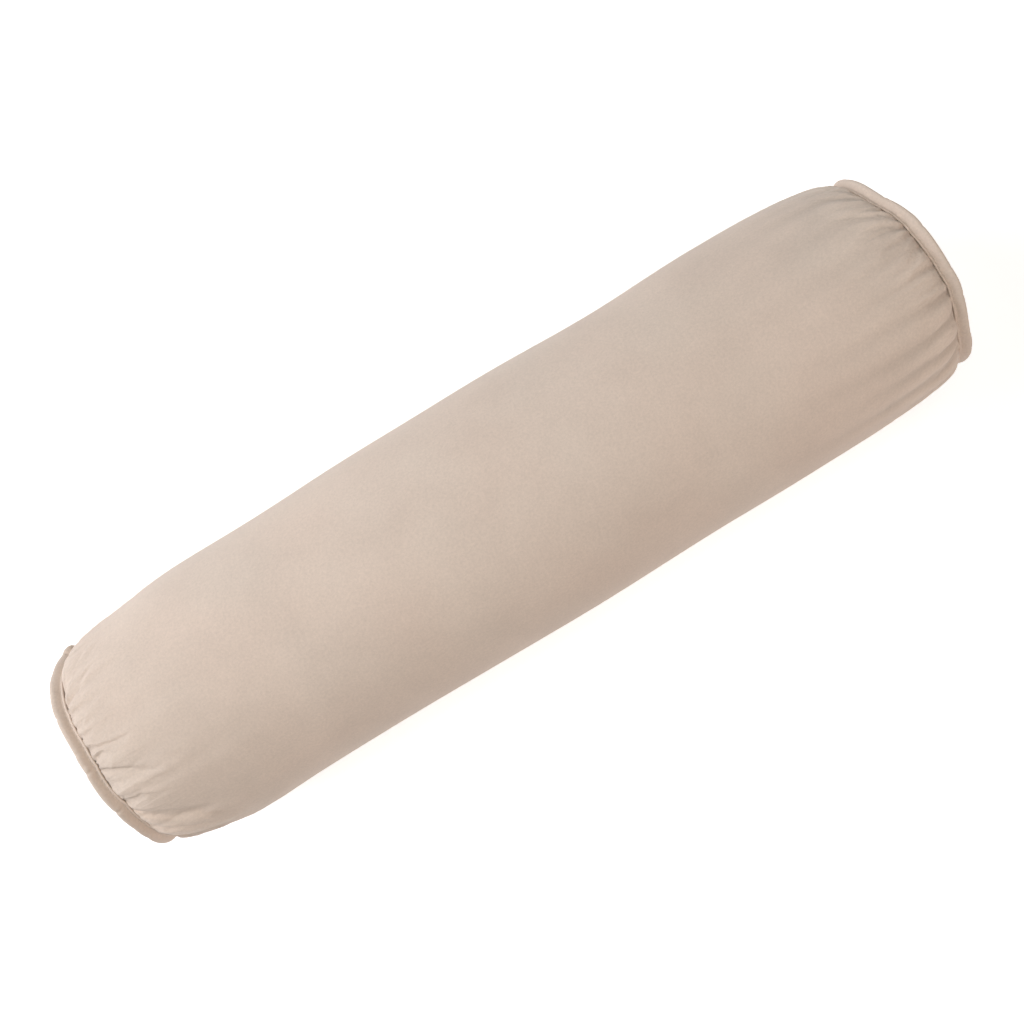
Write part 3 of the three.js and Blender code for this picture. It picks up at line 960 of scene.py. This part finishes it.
def build_filling():
    half_x, half_r = inner_profile(FILLING_INSET, 50)
    crown_share = np.linspace(0.05, 0.97, 16)
    crown_r = half_r[0] * crown_share
    crown_x = half_x[0] + CROWN_HEIGHT * (1 - crown_share**2) - 0.4 * MM
    x, r = both_halves(np.concatenate([crown_x, half_x]), np.concatenate([crown_r, half_r]))
    phi = round_angles(180)[None, :]
    lumps = ripples(x, phi, 51, 14, 0.05, 2, 9) + 0.5 * ripples(x, phi, 52, 14, 0.02, 8, 24)
    away = smooth(r / (20 * MM))
    r = r - 0.8 * MM - 0.6 * MM * np.abs(lumps) * away
    points = settle(place(x, r, phi), FILLING_INSET + 0.4 * MM)
    rows, columns = points.shape[:2]
    faces = grid_faces(rows, columns)
    faces.append(tuple(range(columns)))
    faces.append(tuple((rows - 1) * columns + j for j in reversed(range(columns))))
    return flipped(new_object("fibre_filling", points, faces))


def flipped(piece):
    """Turns the faces out where their sense came out inwards."""
    with edited(piece) as work:
        if work.calc_volume(signed=True) < 0:
            bmesh.ops.reverse_faces(work, faces=work.faces)
    return piece


def build_liner_tube():
    x, r = both_halves(*inner_profile(LINER_INSET, 60))
    phi = round_angles(200)[None, :]
    distance = SEAM_X - np.abs(x)
    folds = turns(phi, 61, 9, 20, 44) * 0.12 * MM * np.exp(-distance / (16 * MM))
    r = r - 0.1 * MM + folds
    points = settle(place(x, r, phi), LINER_INSET)
    piece = new_object("liner_bag", points, grid_faces(*points.shape[:2]))
    thicken(piece, LINER_CLOTH)
    return flipped(piece)


def build_liner_end(end):
    side = ENDS[end]
    rim = SEAM_RADIUS - LINER_INSET - 0.5 * MM - 0.6 * MM
    share = np.linspace(0.04, 1, 24)[:, None]
    phi = round_angles(160)[None, :]
    x = SEAM_X - LINER_INSET + CROWN_HEIGHT * (1 - share**2)
    x = x + turns(phi, 71, 8, 9, 28) * 0.1 * MM * share**3
    points = settle(place(side * x, rim * share, phi), LINER_INSET)
    centre = place(np.array([side * (SEAM_X - LINER_INSET + CROWN_HEIGHT)]), 0.0, 0.0)
    piece = new_disc(f"{end}_liner_end", points, settle(centre, LINER_INSET), side)
    thicken(piece, LINER_END_CLOTH)
    return flipped(piece)


# ---- Materials ----

class Shader:
    """A node material: add() makes a node, sets its inputs, and links what is a socket."""

    def __init__(self, name):
        self.material = bpy.data.materials.new(name)
        self.material.use_nodes = True
        self.tree = self.material.node_tree
        self.surface = self.tree.nodes["Principled BSDF"]

    def add(self, kind, inputs=None, output=0, **settings):
        node = self.tree.nodes.new(kind)
        for key, value in settings.items():
            setattr(node, key, value)
        for key, value in (inputs or {}).items():
            self.connect(node.inputs[key], value)
        return node.outputs[output]

    def connect(self, socket, value):
        if isinstance(value, bpy.types.NodeSocket):
            self.tree.links.new(value, socket)
        else:
            socket.default_value = value

    def set(self, **values):
        for key, value in values.items():
            self.connect(self.surface.inputs[key.replace("_", " ")], value)

    def math(self, operation, *values):
        return self.add("ShaderNodeMath", dict(enumerate(values)), operation=operation)

    def times(self, first, second):
        return self.math("MULTIPLY", first, second)

    def noise(self, vector, scale, detail=3.0, roughness=0.5, distortion=0.0):
        inputs = {"Vector": vector, "Scale": scale, "Detail": detail, "Roughness": roughness,
                  "Distortion": distortion}
        return self.add("ShaderNodeTexNoise", inputs)

    def between(self, value, low, high, to_low=0.0, to_high=1.0):
        inputs = {0: value, 1: low, 2: high, 3: to_low, 4: to_high}
        return self.add("ShaderNodeMapRange", inputs)

    def mix(self, factor, first, second, blend="MIX"):
        """Mixes two colours, which are a Mix node's inputs 6 and 7 and output 2."""
        inputs = {0: factor, 6: first, 7: second}
        return self.add("ShaderNodeMix", inputs, 2, data_type="RGBA", blend_type=blend)

    def tint(self, colour, shade):
        """Base colour: colour times shade."""
        grey = self.add("ShaderNodeCombineColor", {0: shade, 1: shade, 2: shade})
        self.set(Base_Color=self.mix(1.0, colour, grey, "MULTIPLY"))

    def shades(self, factor, colour, low, high):
        """colour times low to colour times high as factor goes from 0 to 1."""
        return self.mix(factor, (*scaled(colour, low), 1), (*scaled(colour, high), 1))

    def bump(self, strength, distance, height, **inputs):
        inputs = {"Strength": strength, "Distance": distance, "Height": height, **inputs}
        return self.add("ShaderNodeBump", inputs)

    def point(self):
        return self.add("ShaderNodeTexCoord", output="Object")

    def x_and_angle(self, point):
        """The point's x and its angle round the bolster's axis."""
        split = self.tree.nodes.new("ShaderNodeSeparateXYZ")
        self.tree.links.new(point, split.inputs[0])
        x, y, z = split.outputs
        return x, self.math("ARCTAN2", y, self.math("SUBTRACT", z, AXIS_HEIGHT))


def scaled(colour, factor):
    return tuple(float(c) for c in np.multiply(colour, factor))


GATHER_REACH = 75 * MM
WARMER, COOLER = (1.006, 0.996, 0.992), (0.995, 1.003, 1.004)


def gather_lines(s, point, x):
    """Fine creases that run in from the ends along the bolster: a height that fades inwards."""
    long_way = s.add("ShaderNodeVectorMath", {0: point, 1: (0.05, 1, 1)}, operation="MULTIPLY")
    lines = s.noise(long_way, 230.0, 2.0, 0.55, 0.3)
    from_end = s.math("SUBTRACT", SEAM_X, s.math("ABSOLUTE", x))
    fade = s.between(from_end, 0.0, GATHER_REACH, 1.0, 0.0)
    return s.times(lines, s.times(fade, fade))


def cloth_material(name, colour, thread_pitch=0.42 * MM, weave=0.55, mottle=0.035, nap=0.5,
                   lines=0.0):
    """Plain-woven cotton: threads along and round the bolster, a soft nap and faint mottling.

    With lines, it has creases that deepen beside the seams, and painted shade darkens its colour in
    the gathers' hollows while painted highlight lightens it on their crests.
    """
    s = Shader(name)
    point = s.point()
    x, angle = s.x_and_angle(point)
    wander = s.noise(point, 60.0, 2.0)
    bend = s.times(s.math("SUBTRACT", wander, 0.5), 14.0)
    warp = s.math("SINE", s.math("ADD", s.times(x, TAU / thread_pitch), bend))
    count = round(TAU * BODY_RADIUS / thread_pitch)
    weft = s.math("SINE", s.math("ADD", s.times(angle, float(count)), bend))
    plain = s.times(warp, weft)
    fine = s.noise(point, 2600.0, 3.0, 0.65)
    fuzz = s.noise(point, 700.0, 4.0, 0.6)
    patches = s.noise(point, 26.0, 4.0, 0.55, 0.4)
    warmth = s.noise(point, 14.0, 2.0, 0.5)
    light = s.between(patches, 0.3, 0.7, 1 - mottle, 1 + mottle)
    grain = s.between(fuzz, 0.3, 0.7, 0.94, 1.06)
    speck = s.between(fine, 0.3, 0.7, 0.96, 1.04)
    thread = s.between(plain, -1.0, 1.0, 0.985, 1.01)
    shade = s.times(light, grain)
    shade = s.times(shade, s.times(speck, thread))
    hue = s.shades(s.between(warmth, 0.35, 0.65), colour, WARMER, COOLER)
    height = s.times(plain, 0.35 * weave)
    height = s.math("ADD", height, s.times(fuzz, 1.2 * nap))
    height = s.math("ADD", height, s.times(fine, 0.6 * nap))
    bump = s.bump(0.35, 0.12 * MM, height)
    if lines:
        # Painted shade in the gathers' hollows and painted highlight on their crests, read from the
        # hollow layer.
        hollow = s.add("ShaderNodeAttribute", output="Fac", attribute_name="hollow")
        shade = s.times(shade, s.between(hollow, -DARKEST, DARKEST, 1.11, 0.89))
        bump = s.bump(0.8, lines, gather_lines(s, point, x), Normal=bump)
    s.tint(hue, shade)
    s.set(Normal=bump, Roughness=s.between(fuzz, 0.3, 0.7, 0.78, 0.92))
    s.set(Sheen_Weight=0.12, Sheen_Roughness=0.45, Specular_IOR_Level=0.25)
    return s.material


def thread_material(name, colour):
    """Twisted polyester thread."""
    s = Shader(name)
    point = s.point()
    twist = s.add(
        "ShaderNodeTexWave",
        {"Vector": point, "Scale": 900.0, "Distortion": 2.0, "Detail": 1.0},
        output="Fac", bands_direction="DIAGONAL",
    )
    tone = s.noise(point, 300.0, 2.0)
    s.set(Base_Color=s.shades(tone, colour, 0.9, 1.08))
    s.set(Normal=s.bump(0.5, 0.08 * MM, twist))
    s.set(Roughness=s.between(tone, 0.3, 0.7, 0.5, 0.62))
    s.set(Sheen_Weight=0.2, Sheen_Roughness=0.4)
    return s.material


def tape_material(name, colour):
    """Herringbone-woven polyester tape."""
    s = Shader(name)
    point = s.point()
    x, angle = s.x_and_angle(point)
    across = s.times(angle, BODY_RADIUS)
    zigzag = s.math("PINGPONG", across, 1.5 * MM)
    phase = s.times(x, TAU / (0.9 * MM))
    rib = s.math("SINE", s.math("ADD", phase, s.times(zigzag, 5200.0)))
    fuzz = s.noise(point, 900.0, 3.0)
    tone = s.between(rib, -1.0, 1.0, 0.0, 1.0)
    s.set(Base_Color=s.shades(tone, colour, 0.86, 1.05))
    height = s.math("ADD", s.times(rib, 0.5), fuzz)
    s.set(Normal=s.bump(0.6, 0.12 * MM, height))
    s.set(Roughness=s.between(fuzz, 0.3, 0.7, 0.6, 0.75))
    s.set(Sheen_Weight=0.1, Sheen_Roughness=0.5)
    return s.material


def hard_material(name, colour, clouds, marks, shades, roughness, bump, **values):
    """Nylon or metal: a little cloudy in colour and gloss, with fine marks."""
    s = Shader(name)
    point = s.point()
    cloud = s.noise(point, clouds, 3.0)
    s.set(Base_Color=s.shades(cloud, colour, *shades), Normal=s.bump(*bump, s.noise(point, *marks)))
    s.set(Roughness=s.between(cloud, 0.3, 0.7, *roughness), **values)
    return s.material


def fibre_material(name, colour):
    """Loose white polyester fibre."""
    s = Shader(name)
    point = s.point()
    strands = s.noise(point, 420.0, 6.0, 0.75, 1.5)
    clumps = s.noise(point, 60.0, 3.0)
    tone = s.times(strands, s.between(clumps, 0.3, 0.7, 0.8, 1.1))
    s.set(Base_Color=s.shades(tone, colour, 0.82, 1))
    s.set(Normal=s.bump(0.9, 0.6 * MM, strands))
    s.set(Roughness=0.95, Sheen_Weight=0.3, Sheen_Roughness=0.6)
    return s.material


COVER_COLOUR = (0.675, 0.557, 0.468)
materials = {
    "cover_cotton": cloth_material("cover_cotton", COVER_COLOUR, lines=2.2 * MM),
    "end_cotton": cloth_material("end_cotton", COVER_COLOUR),
    "binding_cotton": cloth_material("binding_cotton", COVER_COLOUR, mottle=0.02),
    "thread": thread_material("thread", scaled(COVER_COLOUR, 0.93)),
    "zip_tape": tape_material("zip_tape", scaled(COVER_COLOUR, 0.92)),
    "zip_coil": hard_material(
        "zip_coil", scaled(COVER_COLOUR, 0.9), 180.0, (1500.0, 2.0), (0.93, 1.05), (0.32, 0.45),
        (0.15, 0.05 * MM), Subsurface_Weight=0.1, Subsurface_Radius=(0.001, 0.0008, 0.0006),
        Subsurface_Scale=0.5,
    ),
    "zip_metal": hard_material(
        "zip_metal", (0.72, 0.69, 0.64), 220.0, (1800.0, 3.0, 0.7), (0.86, 1.06), (0.24, 0.42),
        (0.2, 0.04 * MM), Metallic=1.0,
    ),
    "liner_cotton": cloth_material("liner_cotton", (0.86, 0.84, 0.79), 0.5 * MM, 0.8, 0.02, 0.6),
    "filling": fibre_material("filling", (0.93, 0.92, 0.89)),
}


# ---- Building the bolster ----

# Function, name, slot and CAD node, for each half of the zip.
ZIP_PIECES = [
    (build_coil, "zip_teeth", "zip_coil", "zip_coil"),
    (build_tape, "zip_woven_tape", "zip_tape", "zip_tape"),
    (zip_stitches, "zip_stitches", "thread", "zip_thread"),
]
# Name, CAD node, body, and how far its edges are broken.
METAL_PIECES = [
    ("zip_stop_upper", "zip_top_stop_upper", "bolster", 0.35 * MM),
    ("zip_stop_lower", "zip_top_stop_lower", "bolster", 0.35 * MM),
    ("zip_stop_bottom", "zip_bottom_stop", "bolster", 0.35 * MM),
    ("zip_slider_body", "zip_slider", "slider", 0.16 * MM),
    ("zip_puller", "zip_pull_tab", "pull_tab", 0.22 * MM),
]


def build_outside():
    finish_piece(build_cover(), "cover_cotton", "cover_tube")
    for end in ENDS:
        panel = build_end_panel(end)
        node = f"{end}_end_panel"
        finish_piece(panel, "cover_cotton", node, material="end_cotton")
        finish_piece(build_binding(end), "binding_cotton", f"{end}_binding")
        for row, face in (("needle", 1), ("bobbin", -1)):
            stitches = binding_stitches(end, face, f"{end}_{row}_stitches")
            finish_piece(stitches, "thread", f"{end}_{row}_thread")


def build_zip():
    for where, side in (("upper", 1), ("lower", -1)):
        for build, name, slot, node in ZIP_PIECES:
            piece = build(f"{name}_{where}", side, f"{node}_{where}")
            finish_piece(piece, slot, f"{node}_{where}")
    for name, node, body, bevel in METAL_PIECES:
        finish_piece(rounded_copy(name, node, bevel), "zip_metal", node, body)


def build_inside():
    finish_piece(build_liner_tube(), "liner_cotton", "liner_tube")
    for end in ENDS:
        finish_piece(build_liner_end(end), "liner_cotton", f"liner_{end}_end")
    finish_piece(build_filling(), "filling", "filling")


# ---- Floor, light and camera ----
PHOTO_TILT = math.radians(31.23)
CAMERA_HEIGHT = 0.83  # above the bolster's axis
LENS = 46.32
PHOTO_OFFSET = (1.45 * MM, -2.08 * MM)
FLOOR_HALF = 6.0
FLOOR_GAP = 0.1 * MM
LIGHT_SIZE = 1.1
FLOOR_GLOW = 0.46
WORLD_GLOW = 0.02
BACKDROP_FADE = (0.08, 0.26)
# Name, (picture right, picture up, height), power and colour.
LIGHTS = [
    ("key", (-1.4, 0.0, 1.0), 18.5, (0.985, 1, 1.06)),
    ("fill_low", (1.3, -0.5, 1.0), 4.2, (1.32, 1, 0.86)),
    ("overhead", (0.0, 0.0, 2.2), 22.0, (0.99, 1, 0.965)),
]


def image_axes():
    """The picture's right and up directions on the floor."""
    right = Vector((math.cos(PHOTO_TILT), -math.sin(PHOTO_TILT), 0))
    up = Vector((math.sin(PHOTO_TILT), math.cos(PHOTO_TILT), 0))
    return right, up


def make_camera():
    right, up = image_axes()
    data = bpy.data.cameras.new("camera")
    data.lens = LENS
    camera = in_scene("camera", data)
    middle = Vector((0, 0, AXIS_HEIGHT + CAMERA_HEIGHT))
    camera.location = middle + PHOTO_OFFSET[0] * right + PHOTO_OFFSET[1] * up
    camera.rotation_euler = (0, 0, -PHOTO_TILT)
    bpy.context.scene.camera = camera


def make_floor():
    corners = FLOOR_HALF * np.array([[-1, -1, 0], [1, -1, 0], [1, 1, 0], [-1, 1, 0]])
    floor = new_object("floor", corners - [0, 0, FLOOR_GAP], [(0, 1, 2, 3)], False)
    s = Shader("floor")
    s.set(Base_Color=(0.93, 0.93, 0.93, 1), Roughness=0.9, Specular_IOR_Level=0.1)
    s.set(Emission_Color=(1, 1, 1, 1), Emission_Strength=FLOOR_GLOW)
    floor.data.materials.append(s.material)


def soft_light(name, spot, power, colour):
    """A square soft box, aimed at the bolster's middle."""
    right, up = image_axes()
    data = bpy.data.lights.new(name, "AREA")
    data.shape = "SQUARE"
    data.size = LIGHT_SIZE
    data.energy = power
    data.color = colour
    light = in_scene(name, data)
    light.location = spot[0] * right + spot[1] * up + Vector((0, 0, spot[2]))
    light.rotation_euler = (-light.location).to_track_quat("-Z", "Y").to_euler()


def studio_backdrop():
    """Pale round the horizon, as the floor is, and dim overhead, above the soft boxes."""
    world = bpy.data.worlds.new("studio")
    world.use_nodes = True
    tree = world.node_tree
    direction = tree.nodes.new("ShaderNodeTexCoord")
    split = tree.nodes.new("ShaderNodeSeparateXYZ")
    fall = tree.nodes.new("ShaderNodeMapRange")
    fall.interpolation_type = "SMOOTHSTEP"
    for socket, value in zip(fall.inputs[1:5], (*BACKDROP_FADE, FLOOR_GLOW, WORLD_GLOW)):
        socket.default_value = value
    background = tree.nodes["Background"]
    background.inputs["Color"].default_value = (1, 1, 1, 1)
    tree.links.new(direction.outputs["Generated"], split.inputs[0])
    tree.links.new(split.outputs[2], fall.inputs[0])
    tree.links.new(fall.outputs[0], background.inputs["Strength"])
    return world


def make_light():
    bpy.context.scene.world = studio_backdrop()
    for light in LIGHTS:
        soft_light(*light)
    view = bpy.context.scene.view_settings
    view.view_transform = "Standard"
    view.look = "None"


build_outside()
build_zip()
build_inside()
make_camera()
make_floor()
make_light()
